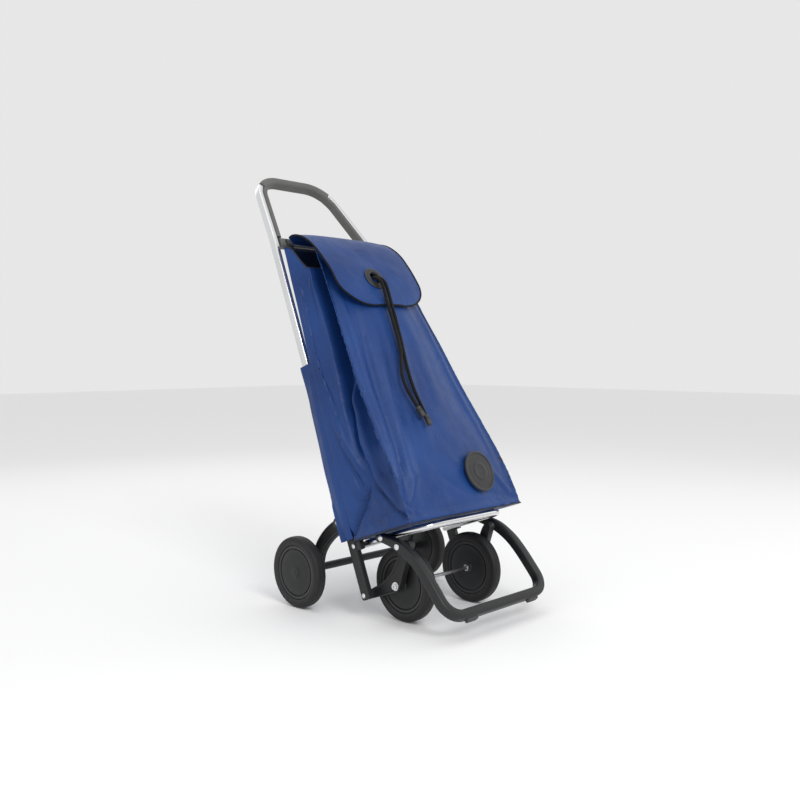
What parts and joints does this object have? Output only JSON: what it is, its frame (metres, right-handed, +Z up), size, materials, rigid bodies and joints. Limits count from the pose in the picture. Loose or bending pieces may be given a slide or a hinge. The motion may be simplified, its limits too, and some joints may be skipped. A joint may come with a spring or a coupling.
{
  "type": "four-wheeled shopping trolley",
  "caption": "Leaning folding shopping trolley: aluminium frame with a bent grip, blue cloth bag with a drawcord flap, folding base and stand, wheels front and rear.",
  "frame": {"origin": "centre of the footprint box, on the ground under the wheels", "axes": "+Z up, -Y the way the bag's front faces, +X across to the trolley's left-hand side seen from behind its handle"},
  "size_m": [0.438, 0.7352, 1.0466],
  "materials": {
    "aluminium": "polished",
    "steel": "bright",
    "black_plastic": "semi-matte",
    "grey_plastic": "matte",
    "tyre": "matte, foamed",
    "pad": "matte",
    "fabric": "satin polyester",
    "cord": "braided",
    "board": "matte"
  },
  "bodies": {
    "back_frame": {"side_rail_left": "aluminium", "side_rail_right": "aluminium", "handle_grip": "grey_plastic", "crossbar": "grey_plastic", "rail_foot_left": "black_plastic", "rail_foot_right": "black_plastic", "bag_hook_left": "black_plastic", "bag_hook_right": "black_plastic", "bag_back": "fabric", "bag_front": "fabric", "bag_left_front": "fabric", "bag_left_rear": "fabric", "bag_right_front": "fabric", "bag_right_rear": "fabric", "bag_bottom": "fabric", "badge": "black_plastic", "base_pin_left": "steel", "base_pin_right": "steel", "carriage_pin_left": "steel", "carriage_pin_right": "steel", "rear_pin_left": "steel", "rear_pin_right": "steel"},
    "base": {"base_tube": "aluminium", "base_board": "board", "stand_rivet_left": "steel", "stand_rivet_right": "steel"},
    "stand": {"stand_loop": "black_plastic", "stand_pad_left": "pad", "stand_pad_right": "pad", "link_rivet_left": "steel", "link_rivet_right": "steel"},
    "carriage": {"wheel_bracket_left": "black_plastic", "wheel_bracket_right": "black_plastic", "front_axle": "steel", "axle_bolt_left": "steel", "axle_bolt_right": "steel", "axle_nut_left": "steel", "axle_nut_right": "steel"},
    "front_wheel_left": {"front_wheel_left_tyre": "tyre", "front_wheel_left_hub": "black_plastic"},
    "front_wheel_right": {"front_wheel_right_tyre": "tyre", "front_wheel_right_hub": "black_plastic"},
    "rear_arms": {"rear_arm_left": "black_plastic", "rear_arm_right": "black_plastic", "rear_axle_rod": "steel", "rear_axle_tube": "black_plastic"},
    "rear_wheel_left": {"rear_wheel_left_tyre": "tyre", "rear_wheel_left_hub": "black_plastic"},
    "rear_wheel_right": {"rear_wheel_right_tyre": "tyre", "rear_wheel_right_hub": "black_plastic"},
    "flap": {"flap": "fabric", "eyelet": "grey_plastic"},
    "cords": {"cord_left": "cord", "cord_right": "cord", "cord_tip_left": "black_plastic", "cord_tip_right": "black_plastic"}
  },
  "joints": [
    {"name": "base_fold", "type": "hinge", "parent": "back_frame", "child": "base", "pos_m": [0, -0.07547, 0.15939], "axis": [-1, 0, 0], "range_deg": [0, 72], "deforming": ["bag_back", "bag_front", "bag_left_front", "bag_left_rear", "bag_right_front", "bag_right_rear", "bag_bottom"]},
    {"name": "stand_fold", "type": "hinge", "parent": "base", "child": "stand", "pos_m": [0, -0.16394, 0.19136], "axis": [1, 0, 0], "range_deg": [0, 86]},
    {"name": "carriage_fold", "type": "hinge", "parent": "back_frame", "child": "carriage", "pos_m": [0, -0.10833, 0.05403], "axis": [-1, 0, 0], "range_deg": [0, 45]},
    {"name": "rear_fold", "type": "hinge", "parent": "back_frame", "child": "rear_arms", "pos_m": [0, -0.02165, 0.20451], "axis": [1, 0, 0], "range_deg": [0, 105]},
    {"name": "flap_open", "type": "hinge", "parent": "back_frame", "child": "flap", "pos_m": [0, 0.21493, 0.87415], "axis": [-1, 0, 0], "range_deg": [0, 76], "deforming": ["cord_left", "cord_right", "cord_tip_left", "cord_tip_right"]},
    {"name": "cord_swing", "type": "hinge", "parent": "flap", "child": "cords", "pos_m": [-0.016, 0.01772, 0.76778], "axis": [-1, 0, 0], "range_deg": [-76, 0]},
    {"name": "front_wheel_left_spin", "type": "hinge", "parent": "carriage", "child": "front_wheel_left", "pos_m": [-0.112, -0.1788, 0.0825], "axis": [1, 0, 0], "continuous": true},
    {"name": "front_wheel_right_spin", "type": "hinge", "parent": "carriage", "child": "front_wheel_right", "pos_m": [0.112, -0.1788, 0.0825], "axis": [1, 0, 0], "continuous": true},
    {"name": "rear_wheel_left_spin", "type": "hinge", "parent": "rear_arms", "child": "rear_wheel_left", "pos_m": [-0.205, 0.07518, 0.08246], "axis": [1, 0, 0], "continuous": true},
    {"name": "rear_wheel_right_spin", "type": "hinge", "parent": "rear_arms", "child": "rear_wheel_right", "pos_m": [0.205, 0.07518, 0.08246], "axis": [1, 0, 0], "continuous": true}
  ],
  "couplings": [
    {"joint": "stand_fold", "follows": "base_fold", "ratio": 1.19},
    {"joint": "carriage_fold", "follows": "base_fold", "ratio": 0.6},
    {"joint": "cord_swing", "follows": "flap_open", "ratio": -1}
  ]
}
